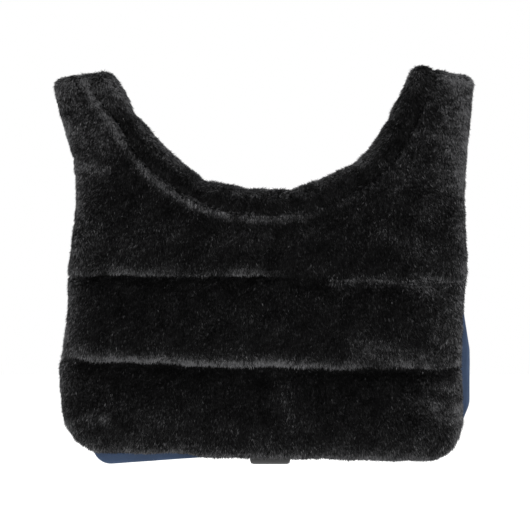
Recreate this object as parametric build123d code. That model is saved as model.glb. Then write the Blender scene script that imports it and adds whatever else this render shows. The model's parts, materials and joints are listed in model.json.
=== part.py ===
from build123d import *
import os

# Padded, fur-lined chest bib (breastplate) for a horse, in millimetres.
# +X is to the right when the fur faces the viewer, +Z is up, and the fur faces -Y.
# The origin is the lowest point of the neckline, on the bib's middle plane.

# ---- layers of the bib, as Y levels -------------------------------------------------
FUR_FACE_Y = -14.0
WADDING_FRONT_Y = -2.0
WADDING_BACK_Y = 8.0
SHELL_THICKNESS = 1.5
SHELL_BACK_Y = WADDING_BACK_Y + SHELL_THICKNESS
WADDING_INSET = 8.0
FUR_EDGE_RADIUS = 9.0

# ---- lined outline: (x, z, corner radius) -------------------------------------------
LINING_OUTLINE = [
    (-254, 131, 13),
    (-252, 110, 50),
    (-223, 14, 150),
    (-237, -106, 120),
    (-235, -150, 80),
    (-247, -215, 50),
    (-240, -322, 56),
    (-104, -321, 200),
    (-62, -327, 120),
    (242, -332, 46),
    (242, -165, 120),
    (248, -100, 80),
    (244, -15, 150),
    (256, 133, 9),
    (190, 146, 0),
    (-190, 144, 0),
]

# The shell hangs a little lower and more to the right than the lining, so it shows there.
SHELL_OUTLINE = [
    (-248, 126, 11),
    (-217, 14, 150),
    (-231, -120, 200),
    (-236, -262, 60),
    (-197, -336, 22),
    (-70, -327, 200),
    (226, -323, 34),
    (251, -262, 30),
    (251, -196, 50),
    (239, -120, 150),
    (239, -15, 150),
    (250, 128, 7),
    (190, 141, 0),
    (-190, 139, 0),
]

# ---- neck roll ------------------------------------------------------------------------
ROLL_RADIUS = 19.0
ROLL_CORE_RADIUS = 12.0
ROLL_GAP = 0.3
ROLL_END_FILLET = 9.0
ROLL_CAP = 8.0
NECK_LINE = [(-200, 135), (-131, 34), (-68, -12), (44, -23), (145, 31), (200, 143)]
NECK_RADII = [120, 150, 170, 110]
NECK_TOP_Z = 220.0

# ---- quilting -------------------------------------------------------------------------
QUILT_GROOVE_RADIUS = 6.0
QUILT_GROOVE_DEPTH = 5.0
UPPER_SEAM = [(-262, -104), (0, -105.5), (262, -110)]
UPPER_SEAM_RADII = [900]
LOWER_SEAM = [(-262, -200), (-195, -211), (-30, -218), (205, -220), (262, -211)]
LOWER_SEAM_RADII = [200, 900, 90]

# ---- stitches -------------------------------------------------------------------------
STITCH_LENGTH = 5.0
STITCH_WIDTH = 1.0
STITCH_HEIGHT = 0.6
STITCH_EDGE_RADIUS = 0.25
SEAM_PITCH = 9.0
WEB_PITCH = 6.5
EDGE_STITCH_INSET = 9.0
ROLL_STITCH_INSET = 5.0
SEAM_STITCH_SPAN = (-212, 228)

# ---- webbing --------------------------------------------------------------------------
WIDE_WEB = 50.0
KEEPER_WEB = 40.0
NARROW_WEB = 25.0
WEB_THICKNESS = 2.0
THIN_WEB = 1.6
FIT_GAP = 0.3
STITCH_MARGIN = 3.0
CENTRE_X = 9.0
CENTRE_WEB_TOP_Z = -44.0
CENTRE_WEB_END_Z = -272.0
CENTRE_WEB_BACK_Y = SHELL_BACK_Y + WEB_THICKNESS

# ---- belly loop: a folded 50 mm strip that ends just below the hem -------------------
BELLY_SEWN_TOP_Z = -251.0
BELLY_SEWN_END_Z = -269.0
BELLY_LOW_Z = -336.0
BELLY_FOLD_RADIUS = 5.5

# ---- hook-and-loop keepers on the centre webbing --------------------------------------
KEEPER_AXIS_Z = {"upper": -64.0, "lower": -167.0}
KEEPER_SEWN_HEIGHT = 15.0
KEEPER_ARCH_Y = 7.0
KEEPER_LENGTH = 80.0
TAPE_WIDTH = 38.0
TAPE_HEIGHT = 24.0
TAPE_THICKNESS = 1.3

# ---- left arm: D-ring on a webbing tab ------------------------------------------------
RING_X = -209.0
RING_BAR_Z = 76.0
RING_WIRE_RADIUS = 2.0
RING_HALF_WIDTH = 15.5
RING_LENGTH = 26.0
RING_TILT = 5.0
TAB_LENGTH = 34.0

# ---- right arm: wither strap with slider and bolt snap --------------------------------
STRAP_X = 223.0
STRAP_AXIS_Z = 84.0
STRAP_SEWN_LAYERS = 3
STRAP_SEWN_HEIGHT = 21.0
STRAP_TAIL_Z = 6.0
SLIDER_Z = -20.0
SLIDER_HEIGHT = 24.0
SLIDER_WIDTH = 33.0
SLIDER_BAR = 4.5
EYE_BAR_Z = -188.0
EYE_BAR_RADIUS = 2.2
EYE_HALF_WIDTH = 15.5
EYE_DROP = 15.0
EYE_BOSS = 9.0
LOOP_LAYER_GAP = 0.4

# ---- bolt snap, measured down from the swivel boss ------------------------------------
POST_RADIUS = 2.0
RUNNING_GAP = 0.08
BARREL_RADIUS = 5.5
BARREL_LENGTH = 27.0
BOLT_RADIUS = 2.5
BOLT_TAIL_RADIUS = 1.1
HOOK_WIRE_RADIUS = 3.0
THROAT = 11.0
BOLT_TRAVEL = 9.0
SPRING_RADIUS = 1.8
SPRING_WIRE_RADIUS = 0.3
SPRING_LENGTH = 13.0
SPRING_TURNS = 5


def web_axis_y():
    """Mid-plane of the two wither strap layers, clear of the folded sewn end."""
    sewn_back = SHELL_BACK_Y + STRAP_SEWN_LAYERS * THIN_WEB
    return sewn_back + FIT_GAP + THIN_WEB + LOOP_LAYER_GAP / 2


def upright(y):
    """Work plane of the bib: local x is X, local y is Z, and the normal is -Y."""
    return Plane(origin=(0, y, 0), x_dir=(1, 0, 0), z_dir=(0, -1, 0))


def outline_face(outline):
    """Flat face inside a closed (x, z, radius) outline."""
    points = [(x, z) for x, z, _ in outline]
    radii = [radius for _, _, radius in outline]
    return make_face(FilletPolyline(*points, radius=radii, close=True))


def plate(face, front_y, back_y):
    """Closed plate of a flat outline between two Y levels."""
    return extrude(upright(back_y) * face, amount=back_y - front_y)


def bar(x, y, z):
    """Box between two corners, each given as a (low, high) pair."""
    size = [high - low for low, high in (x, y, z)]
    centre = [(high + low) / 2 for low, high in (x, y, z)]
    return Pos(*centre) * Box(*size)


def in_bib_plane(points, y=0.0):
    return [(x, y, z) for x, z in points]


def tube(points, radii, radius):
    """Round rod along straight runs joined by tangent arcs."""
    path = FilletPolyline(*points, radius=radii)
    section = Plane(origin=path @ 0, z_dir=path % 0) * Circle(radius)
    return sweep(section, path=path)


def strip(points, radii, x, width, thickness):
    """Flat webbing whose (y, z) mid-line lies in the plane at x."""
    path = FilletPolyline(*[(x, y, z) for y, z in points], radius=radii)
    section = Plane(origin=path @ 0, x_dir=(1, 0, 0), z_dir=path % 0) * Rectangle(width, thickness)
    return sweep(section, path=path)


def shortened(points, amount):
    """The same route with both ends pulled in by an amount."""
    first, second = Vector(*points[0]), Vector(*points[1])
    last, before = Vector(*points[-1]), Vector(*points[-2])
    start = first + (second - first).normalized() * amount
    end = last + (before - last).normalized() * amount
    return [start, *points[1:-1], end]


def neck_tube(radius, pull_in=0.0):
    return tube(shortened(in_bib_plane(NECK_LINE), pull_in), NECK_RADII, radius)


def neck_hollow():
    """Everything above the neckline, which no panel reaches."""
    points = NECK_LINE + [(NECK_LINE[-1][0], NECK_TOP_Z), (NECK_LINE[0][0], NECK_TOP_Z)]
    return extrude(upright(40) * make_face(Polyline(*points, close=True)), amount=80)


def seam_route(points, radii, y):
    return FilletPolyline(*in_bib_plane(points, y), radius=radii)


def quilt_groove(points, radii):
    centre_y = FUR_FACE_Y + QUILT_GROOVE_DEPTH - QUILT_GROOVE_RADIUS
    return tube(in_bib_plane(points, centre_y), radii, QUILT_GROOVE_RADIUS)


# ---- padded panel ---------------------------------------------------------------------


def make_wadding(cut):
    inner = offset(outline_face(LINING_OUTLINE), amount=-WADDING_INSET, kind=Kind.INTERSECTION)
    return plate(inner, WADDING_FRONT_Y, WADDING_BACK_Y) - cut


def make_fur_lining(cut, wadding):
    block = plate(outline_face(LINING_OUTLINE), FUR_FACE_Y, WADDING_BACK_Y)
    front_edges = block.faces().sort_by(Axis.Y)[0].edges()
    lining = fillet(front_edges, FUR_EDGE_RADIUS) - cut - wadding
    lining -= quilt_groove(UPPER_SEAM, UPPER_SEAM_RADII)
    return lining - quilt_groove(LOWER_SEAM, LOWER_SEAM_RADII)


def make_outer_shell(cut):
    return plate(outline_face(SHELL_OUTLINE), WADDING_BACK_Y, SHELL_BACK_Y) - cut


def make_neck_roll():
    core = neck_tube(ROLL_CORE_RADIUS, ROLL_CAP)
    roll = neck_tube(ROLL_RADIUS)
    end_edges = roll.edges().filter_by(GeomType.CIRCLE).sort_by(Axis.Z)[-2:]
    return fillet(end_edges, ROLL_END_FILLET) - core, core


# ---- stitches -------------------------------------------------------------------------


def one_stitch():
    thread = Box(STITCH_LENGTH, STITCH_WIDTH, STITCH_HEIGHT)
    return fillet(thread.edges().filter_by(Axis.X), STITCH_EDGE_RADIUS)


def covered(point, patches):
    """True where a (low x, high x, low z, high z) patch lies over the point."""
    for low_x, high_x, low_z, high_z in patches:
        if low_x < point.X < high_x and low_z < point.Z < high_z:
            return True
    return False


def webbing_patches():
    """The parts of the shell that the centre webbing and the ring tab cover."""
    wide = WIDE_WEB / 2 + STITCH_LENGTH
    narrow = NARROW_WEB / 2 + STITCH_LENGTH
    tab_low = RING_BAR_Z - TAB_LENGTH - STITCH_LENGTH
    return [
        (CENTRE_X - wide, CENTRE_X + wide, -400, CENTRE_WEB_TOP_Z + STITCH_LENGTH),
        (RING_X - narrow, RING_X + narrow, tab_low, RING_BAR_Z + STITCH_LENGTH),
    ]


def stitch_run(route, pitch, patches=()):
    """Stitches lying on the bib's back along a route, none under a patch."""
    stitch = one_stitch()
    count = int(route.length // pitch)
    stitches = []
    for index in range(count):
        place = (index + 0.5) / count
        point = route @ place
        if covered(point, patches):
            continue
        seat = point + Vector(0, STITCH_HEIGHT / 2, 0)
        stitches.append(Plane(origin=seat, x_dir=route % place, z_dir=(0, 1, 0)).location * stitch)
    return stitches


def solids_of(shapes):
    return Compound(children=[solid for shape in shapes for solid in shape.solids()])


def box_stitches(x, z_low, z_high, width, y):
    """A sewn rectangle with one diagonal cross, inside a webbing's margins."""
    half = width / 2 - STITCH_MARGIN
    low, high = z_low + STITCH_MARGIN, z_high - STITCH_MARGIN
    corners = [(x - half, y, low), (x + half, y, low), (x + half, y, high), (x - half, y, high)]
    runs = []
    for start, end in zip(corners, corners[1:] + corners[:1]):
        side = Vector(*end) - Vector(*start)
        inset = side.normalized() * STITCH_LENGTH * 0.6
        route = Line(Vector(*start) + inset, Vector(*end) - inset)
        if route.length > WEB_PITCH:
            runs += stitch_run(route, WEB_PITCH)
    return solids_of(runs)


def quilt_stitches(points, radii):
    """Visible thread on the shell, from edge row to edge row, broken by the centre webbing."""
    left, right = SEAM_STITCH_SPAN
    beyond = [(-400, left, -400, 400), (right, 400, -400, 400)]
    route = seam_route(points, radii, SHELL_BACK_Y)
    return solids_of(stitch_run(route, SEAM_PITCH, webbing_patches() + beyond))


def roll_seam_stitches():
    """Thread along the panel side of the neck roll, on the shell."""
    reach = ROLL_RADIUS + ROLL_STITCH_INSET
    line = Wire(FilletPolyline(*NECK_LINE, radius=NECK_RADII).edges())
    parallel = line.offset_2d(reach, side=Side.RIGHT, closed=False)
    route = upright(SHELL_BACK_Y) * parallel
    return solids_of(stitch_run(route, SEAM_PITCH))


def edge_stitches():
    """Topstitching round the shell's outer edge, from one arm tip to the other."""
    tip_to_tip = SHELL_OUTLINE[:-2]
    points = [(x, z) for x, z, _ in tip_to_tip]
    radii = [radius for _, _, radius in tip_to_tip[1:-1]]
    edge = Wire(FilletPolyline(*points, radius=radii).edges())
    inner = edge.offset_2d(EDGE_STITCH_INSET, side=Side.LEFT, closed=False)
    route = upright(SHELL_BACK_Y) * inner
    return solids_of(stitch_run(route, SEAM_PITCH, webbing_patches()))


# ---- webbing on the shell -------------------------------------------------------------


def make_centre_webbing():
    half = WIDE_WEB / 2
    return bar(
        (CENTRE_X - half, CENTRE_X + half),
        (SHELL_BACK_Y, CENTRE_WEB_BACK_Y),
        (CENTRE_WEB_END_Z, CENTRE_WEB_TOP_Z),
    )


def centre_webbing_stitches():
    """Two rows down the webbing's edges, between the loop and the top end."""
    runs = []
    for side in (-1, 1):
        x = CENTRE_X + side * (WIDE_WEB / 2 - STITCH_MARGIN / 2)
        top = (x, CENTRE_WEB_BACK_Y, CENTRE_WEB_TOP_Z - STITCH_MARGIN)
        low = (x, CENTRE_WEB_BACK_Y, BELLY_SEWN_TOP_Z + STITCH_MARGIN)
        runs += stitch_run(Line(top, low), WEB_PITCH)
    return solids_of(runs)


def make_belly_loop():
    half = WEB_THICKNESS / 2
    inner_y = SHELL_BACK_Y + half
    outer_y = inner_y + 2 * BELLY_FOLD_RADIUS
    low = BELLY_LOW_Z + half
    route = [
        (inner_y, CENTRE_WEB_END_Z - 3),
        (inner_y, low),
        (outer_y, low),
        (outer_y, -296),
        (CENTRE_WEB_BACK_Y + half, BELLY_SEWN_END_Z - 3),
        (CENTRE_WEB_BACK_Y + half, BELLY_SEWN_TOP_Z),
    ]
    fold = BELLY_FOLD_RADIUS - 0.05
    return strip(route, [fold, fold, 20, 12], CENTRE_X, WIDE_WEB, WEB_THICKNESS)


def belly_loop_stitches():
    back_y = CENTRE_WEB_BACK_Y + WEB_THICKNESS
    return box_stitches(CENTRE_X, BELLY_SEWN_END_Z, BELLY_SEWN_TOP_Z, WIDE_WEB, back_y)


# ---- keepers --------------------------------------------------------------------------


def keeper_levels():
    """Y of the hinge line, of the tape joint and of the flap over the tape."""
    axis_y = CENTRE_WEB_BACK_Y + WEB_THICKNESS + FIT_GAP + WEB_THICKNESS / 2
    joint_y = CENTRE_WEB_BACK_Y + TAPE_THICKNESS
    flap_y = joint_y + FIT_GAP + TAPE_THICKNESS + WEB_THICKNESS / 2
    return axis_y, joint_y, flap_y


def make_keeper(name):
    """One chest-strap keeper: nodes that stay on the bib, and the flap that lifts."""
    axis_z = KEEPER_AXIS_Z[name]
    axis_y, joint_y, flap_y = keeper_levels()
    arch_y = CENTRE_WEB_BACK_Y + KEEPER_ARCH_Y + WEB_THICKNESS / 2
    end_z = axis_z - KEEPER_LENGTH
    half = KEEPER_WEB / 2
    tape_half = TAPE_WIDTH / 2
    tape_x = (CENTRE_X - tape_half, CENTRE_X + tape_half)
    tape_z = (end_z + 2, end_z + 2 + TAPE_HEIGHT)
    web_x = (CENTRE_X - half, CENTRE_X + half)
    sewn_low = axis_z + FIT_GAP
    sewn_top = axis_z + KEEPER_SEWN_HEIGHT
    sewn_back = CENTRE_WEB_BACK_Y + WEB_THICKNESS

    sewn_end = bar(web_x, (CENTRE_WEB_BACK_Y, sewn_back), (sewn_low, sewn_top))
    route = [
        (axis_y, axis_z),
        (axis_y, axis_z - 4),
        (arch_y, axis_z - 12),
        (arch_y, axis_z - 44),
        (flap_y, axis_z - 52),
        (flap_y, end_z),
    ]
    flap = strip(route, [4, 4, 4, 4], CENTRE_X, KEEPER_WEB, WEB_THICKNESS)
    root = Pos(CENTRE_X, axis_y, axis_z) * Rot(0, 90, 0) * Cylinder(WEB_THICKNESS / 2, KEEPER_WEB)
    loop_tape = bar(tape_x, (CENTRE_WEB_BACK_Y, joint_y), tape_z)
    hook_tape = bar(tape_x, (joint_y + FIT_GAP, joint_y + FIT_GAP + TAPE_THICKNESS), tape_z)
    return {
        f"{name}_keeper_sewn_end": sewn_end,
        f"{name}_keeper_stitches": box_stitches(CENTRE_X, sewn_low, sewn_top, KEEPER_WEB, sewn_back),
        f"{name}_keeper_loop_tape": loop_tape,
        f"{name}_keeper_flap": flap + root,
        f"{name}_keeper_hook_tape": hook_tape,
        f"{name}_keeper_flap_stitches": box_stitches(
            CENTRE_X, tape_z[0], tape_z[1], TAPE_WIDTH, flap_y + WEB_THICKNESS / 2
        ),
    }


# ---- left arm -------------------------------------------------------------------------


def ring_bar_y():
    return SHELL_BACK_Y + THIN_WEB + FIT_GAP + RING_WIRE_RADIUS


def make_d_ring():
    """Ring hanging from its straight bar, its bow resting just off the tab."""
    w, drop, r = RING_HALF_WIDTH, RING_LENGTH, RING_WIRE_RADIUS
    corners = [(-w, 0, 0), (w, 0, 0), (w, 0, -drop), (-w, 0, -drop)]
    path = FilletPolyline(*corners, radius=[4, 4, 14, 14], close=True)
    section = Plane(origin=path @ 0, z_dir=path % 0) * Circle(r)
    ring = sweep(section, path=path)
    return Pos(RING_X, ring_bar_y(), RING_BAR_Z) * Rot(RING_TILT, 0, 0) * ring


def make_ring_tab():
    """Webbing folded over the ring's bar, both layers sewn down below it."""
    inner = RING_WIRE_RADIUS + FIT_GAP
    wrap = inner + THIN_WEB
    bar_y = ring_bar_y()
    x = (RING_X - NARROW_WEB / 2, RING_X + NARROW_WEB / 2)
    low_z = RING_BAR_Z - TAB_LENGTH
    across = Pos(RING_X, bar_y, RING_BAR_Z) * Rot(0, 90, 0)
    sleeve = across * (Cylinder(wrap, NARROW_WEB) - Cylinder(inner, NARROW_WEB + 2))
    layers = bar(x, (SHELL_BACK_Y, SHELL_BACK_Y + 2 * THIN_WEB), (low_z, RING_BAR_Z - inner))
    tab = sleeve + layers - across * Cylinder(inner, NARROW_WEB + 2)
    return tab & bar(x, (SHELL_BACK_Y, bar_y + wrap), (low_z, RING_BAR_Z + wrap))


def ring_tab_stitches():
    top = RING_BAR_Z - RING_WIRE_RADIUS - 4
    y = SHELL_BACK_Y + 2 * THIN_WEB
    return box_stitches(RING_X, RING_BAR_Z - TAB_LENGTH, top, NARROW_WEB, y)


# ---- right arm ------------------------------------------------------------------------


def make_wither_strap():
    """Sewn end on the arm, and the hanging strap doubled round the snap's eye."""
    half = NARROW_WEB / 2
    x = (STRAP_X - half, STRAP_X + half)
    mid_y = web_axis_y()
    inner = EYE_BAR_RADIUS + FIT_GAP
    sewn_back = SHELL_BACK_Y + STRAP_SEWN_LAYERS * THIN_WEB
    sewn_low = STRAP_AXIS_Z + FIT_GAP
    sewn_top = STRAP_AXIS_Z + STRAP_SEWN_HEIGHT
    sewn_end = bar(x, (SHELL_BACK_Y, sewn_back), (sewn_low, sewn_top))

    front_y = mid_y - LOOP_LAYER_GAP / 2
    back_y = mid_y + LOOP_LAYER_GAP / 2
    loop_top = EYE_BAR_Z + inner
    across = Pos(STRAP_X, mid_y, EYE_BAR_Z) * Rot(0, 90, 0)
    strap = bar(x, (front_y - THIN_WEB, front_y), (loop_top, STRAP_AXIS_Z))
    strap += bar(x, (back_y, back_y + THIN_WEB), (loop_top, STRAP_TAIL_Z))
    strap += across * Cylinder(inner + THIN_WEB, NARROW_WEB)
    strap -= across * Cylinder(inner, NARROW_WEB + 2)
    root_y = front_y - THIN_WEB / 2
    root = Pos(STRAP_X, root_y, STRAP_AXIS_Z) * Rot(0, 90, 0) * Cylinder(THIN_WEB / 2, NARROW_WEB)
    return {
        "wither_strap_sewn_end": sewn_end,
        "wither_strap_stitches": box_stitches(STRAP_X, sewn_low, sewn_top, NARROW_WEB, sewn_back),
        "wither_strap": strap + root,
    }


def make_strap_slider():
    """Frame round both strap layers, with its middle bar behind them."""
    mid_y = web_axis_y()
    layers = THIN_WEB + LOOP_LAYER_GAP / 2 + FIT_GAP
    front = (mid_y + layers, mid_y + layers + 2.2)
    behind = (mid_y - layers - 1.6, mid_y - layers)
    half = SLIDER_WIDTH / 2
    slot = NARROW_WEB / 2 + FIT_GAP
    low, high = SLIDER_Z - SLIDER_HEIGHT / 2, SLIDER_Z + SLIDER_HEIGHT / 2
    x = (STRAP_X - half, STRAP_X + half)
    slider = bar(x, front, (low, low + SLIDER_BAR)) + bar(x, front, (high - SLIDER_BAR, high))
    slider += bar(x, behind, (SLIDER_Z - SLIDER_BAR / 2, SLIDER_Z + SLIDER_BAR / 2))
    for side in (-1, 1):
        rail = sorted((STRAP_X + side * slot, STRAP_X + side * half))
        slider += bar(rail, (behind[0], front[1]), (low, high))
    return fillet(slider.edges().filter_by(Axis.Y).sort_by(Axis.X)[:2], 1.2)


def boss_top_z():
    return EYE_BAR_Z - EYE_DROP + EYE_BOSS / 2


def make_snap_eye():
    """Rectangular eye hanging from the strap, with a bored boss for the swivel post."""
    w = EYE_HALF_WIDTH
    mid_y = web_axis_y()
    low = EYE_BAR_Z - EYE_DROP
    corners = [(-w, 0, EYE_BAR_Z), (w, 0, EYE_BAR_Z), (w, 0, low), (-w, 0, low)]
    path = FilletPolyline(*corners, radius=4, close=True)
    section = Plane(origin=path @ 0, z_dir=path % 0) * Circle(EYE_BAR_RADIUS)
    frame = sweep(section, path=path)
    boss = Pos(0, 0, low) * Cylinder(EYE_BOSS / 2, EYE_BOSS * 0.7)
    hole = Pos(0, 0, low) * Cylinder(POST_RADIUS + RUNNING_GAP, EYE_BOSS * 2)
    return Pos(STRAP_X, mid_y, 0) * (frame + boss - hole)


def barrel_levels():
    """Z of the barrel's top and bottom, of the hook's tip and of the bolt's shoulder."""
    top = EYE_BAR_Z - EYE_DROP - EYE_BOSS * 0.35 - FIT_GAP
    bottom = top - BARREL_LENGTH
    tip = bottom - THROAT
    shoulder = top - 5 - SPRING_LENGTH
    return top, bottom, tip, shoulder


def make_snap_body():
    """Swivel post, barrel with a slot for the thumb stud, and the hook."""
    top, bottom, tip, shoulder = barrel_levels()
    post_top = EYE_BAR_Z - EYE_DROP + EYE_BOSS * 0.35 + FIT_GAP
    post = Pos(0, 0, (top + post_top) / 2) * Cylinder(POST_RADIUS, post_top - top)
    head = Pos(0, 0, post_top + 0.7) * Cylinder(POST_RADIUS + 1.3, 1.4)
    barrel = Pos(0, 0, (top + bottom) / 2) * Cylinder(BARREL_RADIUS, BARREL_LENGTH)
    barrel = fillet(barrel.edges().sort_by(Axis.Z)[-1], 1.5)
    route = [
        (-1, 0, bottom + 3),
        (-18, 0, bottom - 6),
        (-18, 0, tip - 12),
        (0, 0, tip - 12),
        (0, 0, tip),
    ]
    hook = tube(route, [7, 9, 8.9], HOOK_WIRE_RADIUS)
    bore_top = top - 5
    bore_height = bore_top - tip
    bore = Pos(0, 0, (bore_top + tip) / 2) * Cylinder(BOLT_RADIUS + RUNNING_GAP, bore_height)
    stud_z = (shoulder - 6, shoulder - 2 + BOLT_TRAVEL)
    slot = bar((-1.8, 1.8), (0, BARREL_RADIUS + 2), (stud_z[0] - 0.3, stud_z[1] + 0.3))
    body = post + head + barrel + hook - bore - slot
    return Pos(STRAP_X, web_axis_y(), 0) * body


def make_snap_bolt():
    """Sliding bolt that closes the hook, with its thumb stud and spring guide."""
    _, _, tip, shoulder = barrel_levels()
    end = tip + FIT_GAP
    rod = Pos(0, 0, (shoulder + end) / 2) * Cylinder(BOLT_RADIUS, shoulder - end)
    guide = Pos(0, 0, shoulder + 0.5) * Cylinder(BOLT_TAIL_RADIUS, 1)
    stem = bar((-1.4, 1.4), (0, BARREL_RADIUS + 1.2), (shoulder - 5.4, shoulder - 2.6))
    knob = Pos(0, BARREL_RADIUS + 2.2, shoulder - 4) * Rot(90, 0, 0) * Cylinder(3.2, 2)
    knob = fillet(knob.edges(), 0.6)
    return Pos(STRAP_X, web_axis_y(), 0) * (rod + guide + stem + knob)


def make_snap_spring():
    """Coil between the barrel's blind end and the bolt's shoulder."""
    _, _, _, shoulder = barrel_levels()
    height = SPRING_LENGTH - 2 * SPRING_WIRE_RADIUS - 0.1
    helix = Helix(pitch=height / SPRING_TURNS, height=height, radius=SPRING_RADIUS)
    section = Plane(origin=helix @ 0, z_dir=helix % 0) * Circle(SPRING_WIRE_RADIUS)
    coil = sweep(section, path=helix, is_frenet=True)
    base = shoulder + SPRING_WIRE_RADIUS + 0.05
    return Pos(STRAP_X, web_axis_y(), base) * coil


def make_parts():
    cut = neck_tube(ROLL_RADIUS + ROLL_GAP) + neck_hollow()
    wadding = make_wadding(cut)
    roll_cover, roll_core = make_neck_roll()
    parts = {
        "outer_shell": make_outer_shell(cut),
        "wadding": wadding,
        "fur_lining": make_fur_lining(cut, wadding),
        "neck_roll_cover": roll_cover,
        "neck_roll_core": roll_core,
        "upper_quilt_stitches": quilt_stitches(UPPER_SEAM, UPPER_SEAM_RADII),
        "lower_quilt_stitches": quilt_stitches(LOWER_SEAM, LOWER_SEAM_RADII),
        "roll_seam_stitches": roll_seam_stitches(),
        "edge_stitches": edge_stitches(),
        "centre_webbing": make_centre_webbing(),
        "centre_webbing_stitches": centre_webbing_stitches(),
        "belly_loop": make_belly_loop(),
        "belly_loop_stitches": belly_loop_stitches(),
        "ring_tab": make_ring_tab(),
        "ring_tab_stitches": ring_tab_stitches(),
        "d_ring": make_d_ring(),
        "strap_slider": make_strap_slider(),
        "snap_eye": make_snap_eye(),
        "snap_body": make_snap_body(),
        "snap_bolt": make_snap_bolt(),
        "snap_spring": make_snap_spring(),
    }
    for name in KEEPER_AXIS_Z:
        parts.update(make_keeper(name))
    parts.update(make_wither_strap())
    return parts


os.makedirs("parts", exist_ok=True)
for node, shape in make_parts().items():
    export_step(shape, f"parts/{node}.step")
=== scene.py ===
import json
import math

import bmesh
import bpy
import numpy as np
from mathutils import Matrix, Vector
from mathutils.bvhtree import BVHTree
from mathutils.kdtree import KDTree


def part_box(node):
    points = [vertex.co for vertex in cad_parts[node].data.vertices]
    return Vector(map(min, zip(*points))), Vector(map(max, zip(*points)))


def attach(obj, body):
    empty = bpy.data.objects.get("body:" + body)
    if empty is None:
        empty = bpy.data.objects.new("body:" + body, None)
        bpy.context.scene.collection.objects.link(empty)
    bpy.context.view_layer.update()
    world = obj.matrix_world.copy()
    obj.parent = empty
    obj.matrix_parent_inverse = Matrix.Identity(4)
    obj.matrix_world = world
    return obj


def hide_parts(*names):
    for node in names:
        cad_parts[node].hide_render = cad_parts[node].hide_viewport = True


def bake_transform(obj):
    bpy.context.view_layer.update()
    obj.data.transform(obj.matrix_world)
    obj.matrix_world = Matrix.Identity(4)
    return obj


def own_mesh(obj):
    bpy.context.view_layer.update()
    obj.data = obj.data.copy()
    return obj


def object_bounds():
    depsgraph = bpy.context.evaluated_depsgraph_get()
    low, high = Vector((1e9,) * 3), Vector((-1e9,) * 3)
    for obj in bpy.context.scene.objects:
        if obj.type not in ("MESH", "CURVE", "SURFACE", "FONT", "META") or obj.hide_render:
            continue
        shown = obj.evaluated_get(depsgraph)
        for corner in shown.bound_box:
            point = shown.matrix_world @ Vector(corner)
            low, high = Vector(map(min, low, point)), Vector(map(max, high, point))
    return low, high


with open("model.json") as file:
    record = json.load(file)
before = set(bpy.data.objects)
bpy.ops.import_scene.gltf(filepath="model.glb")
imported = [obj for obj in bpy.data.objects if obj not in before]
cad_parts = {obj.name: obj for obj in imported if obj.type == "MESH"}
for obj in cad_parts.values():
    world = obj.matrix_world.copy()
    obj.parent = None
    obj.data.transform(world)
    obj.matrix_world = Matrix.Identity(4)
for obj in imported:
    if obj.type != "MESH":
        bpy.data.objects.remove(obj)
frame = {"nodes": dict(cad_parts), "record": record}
cad_low, cad_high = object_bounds()

MM = 0.001

# ---- places that several pieces share, in millimetres of the bib's own frame ----------
NECK_LINE = [(-200, 135), (-131, 34), (-68, -12), (44, -23), (145, 31), (200, 143)]
NECK_RADII = [120, 150, 170, 110]
UPPER_SEAM = [(-262, -104), (0, -105.5), (262, -110)]
LOWER_SEAM = [(-262, -200), (-195, -211), (-30, -218), (205, -220), (262, -211)]
SHELL_BACK_Y = 9.5  # outer face of the shell
PILE_DEPTH = 4.6  # room left for the pile over the pad's skin
PAD_BACK_Y = 7.3  # rearmost place of the pad's skin, inside the shell
SEAM_TUCK = 5.5  # how far cloth is drawn in under the roll

# ---- nap of the fur: painted highlight where it lies just above each seam, as (x, strength) ---
UPPER_RIDGE_HIGHLIGHT = [(-240, 0.10), (-224, 0.35), (-190, 0.35), (-180, 0.80), (-128, 0.75), (-116, 0.40),
               (-45, 0.38), (-34, 0.85), (-2, 0.80), (14, 0.25), (40, 0.0), (250, 0.0)]
LOWER_RIDGE_HIGHLIGHT = [(-240, 0.05), (-228, 0.30), (-214, 0.75), (-176, 1.05), (-120, 1.05), (-50, 1.05),
               (52, 1.1), (62, 0.70), (116, 0.60), (135, 0.35), (176, 0.55), (190, 0.25),
               (205, 0.50), (226, 0.35), (250, 0.0)]

# strokes of painted light elsewhere, where the nap turns to the light: (x0, z0, x1, z1, half width,
# strength)
PAINTED_LIGHT_STROKES = [
    (84, -112, 104, -112, 6, 0.30),
    (112, -109, 140, -110, 7, 0.32),
    (148, -112, 178, -112, 7, 0.26),
    (188, -113, 226, -113, 9, 0.24),
    (22, -225, 36, -285, 13, 0.18),
    (-206, -275, -188, -278, 8, 0.30),
    (206, -262, 232, -268, 12, 0.22),
    (196, -235, 228, -240, 8, 0.16),
    (-232, -290, -206, -312, 12, 0.14),
    (120, -190, 190, -204, 18, 0.22),
    (-232, 128, -200, 84, 40, 0.18),
    (-240, 138, -206, 142, 9, 0.16),
    (216, 140, 246, 134, 10, 0.20),
    (-200, 60, -190, 36, 26, 0.10),
    (-226, 30, -190, 22, 7, 0.22),
    (236, 130, 236, 20, 26, 0.24),
    (160, 10, 205, 70, 24, 0.14),
    (120, -34, 175, -66, 16, 0.12),
    (200, -100, 215, -175, 24, 0.16),
    (190, -60, 205, -10, 24, 0.08),
    (-40, -58, 60, -58, 13, 0.12),
    (-205, -70, -120, -60, 22, 0.10),
    (-150, -285, -40, -250, 22, 0.08),
    (-222, 20, -216, -22, 20, 0.14),
    (-222, -126, -228, -180, 16, 0.10),
    (190, -262, 236, -290, 22, 0.12),
    (-200, -318, 190, -322, 12, 0.08),
]
STROKE_GAIN = 1.5

# each seam with its painted highlight ridge, how far its strands hang over it, and the painted shade and
# its reach below
SEAM_PAINTED_LIGHT_AND_SHADE = [
    (UPPER_SEAM, UPPER_RIDGE_HIGHLIGHT, 0.8, 0.10, 12.0),
    (LOWER_SEAM, LOWER_RIDGE_HIGHLIGHT, 4.0, 0.22, 18.0),
]
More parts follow.
